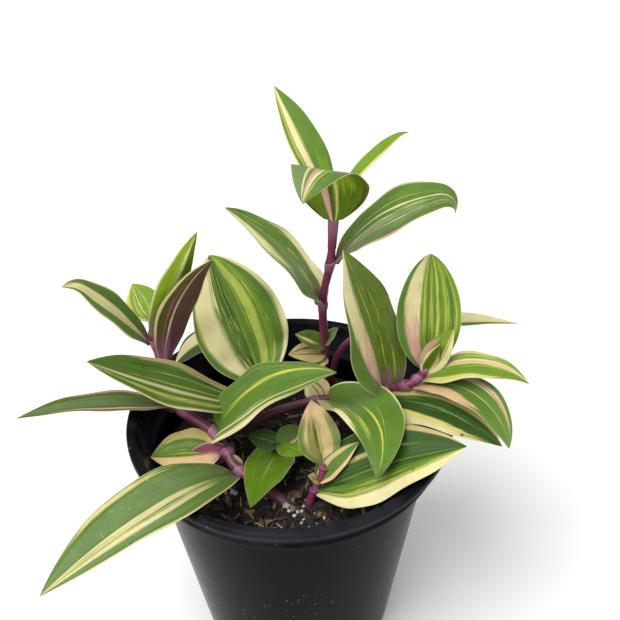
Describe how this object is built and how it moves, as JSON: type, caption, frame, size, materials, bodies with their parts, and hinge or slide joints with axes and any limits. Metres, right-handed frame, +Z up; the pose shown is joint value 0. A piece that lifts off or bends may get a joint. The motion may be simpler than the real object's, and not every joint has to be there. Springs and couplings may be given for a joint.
{
  "type": "potted tradescantia",
  "caption": "Small variegated tradescantia with striped green, cream and pink leaves on fleshy magenta stems, rooted in potting mix in a round black nursery pot.",
  "frame": {"origin": "middle of the underside of the pot", "axes": "+Z up out of the pot; -Y towards the viewer of the picture, +X to the viewer's right"},
  "size_m": [0.1675, 0.1239, 0.1851],
  "materials": {
    "pot_plastic": "thin black nursery-pot plastic, softly glossy, with dust and dried water specks",
    "potting_mix": "damp dark potting mix with bark slivers and pale perlite",
    "stem": "fleshy magenta stem with a satin skin",
    "leaf_striped": "satin green leaf with cream stripes along the veins",
    "leaf_cream": "satin cream leaf with green and yellow-green streaks",
    "leaf_young": "bright yellow-green young leaf, satin",
    "leaf_underside": "purple-brown leaf underside, matt satin"
  },
  "bodies": {
    "root": {"pot": "pot_plastic", "soil": "potting_mix", "creeping_stem": "stem", "tall_stem": "stem", "right_stem": "stem", "centre_stem": "stem", "back_left_stem": "stem", "back_right_stem": "stem", "front_stem": "stem", "low_stem": "stem", "leaf_tall_lower_left": "leaf_striped", "leaf_tall_right": "leaf_striped", "leaf_top_folded": "leaf_young", "leaf_top_left": "leaf_striped", "leaf_top_right": "leaf_striped", "leaf_left_dark_back": "leaf_underside", "leaf_left_outer": "leaf_striped", "leaf_left_upright": "leaf_striped", "leaf_left_narrow": "leaf_striped", "leaf_left_wide": "leaf_striped", "leaf_back_left": "leaf_striped", "leaf_centre_upright": "leaf_cream", "leaf_centre_across": "leaf_striped", "leaf_front_left_long": "leaf_striped", "leaf_front_left_small": "leaf_striped", "leaf_front_heart": "leaf_young", "leaf_front_young": "leaf_striped", "leaf_front_right_long": "leaf_striped", "leaf_front_folded": "leaf_striped", "leaf_right_low": "leaf_striped", "leaf_right_drooping": "leaf_striped", "leaf_right_side": "leaf_striped", "leaf_right_upright": "leaf_cream", "leaf_centre_right_upright": "leaf_striped", "leaf_back_right": "leaf_cream"}
  },
  "joints": []
}
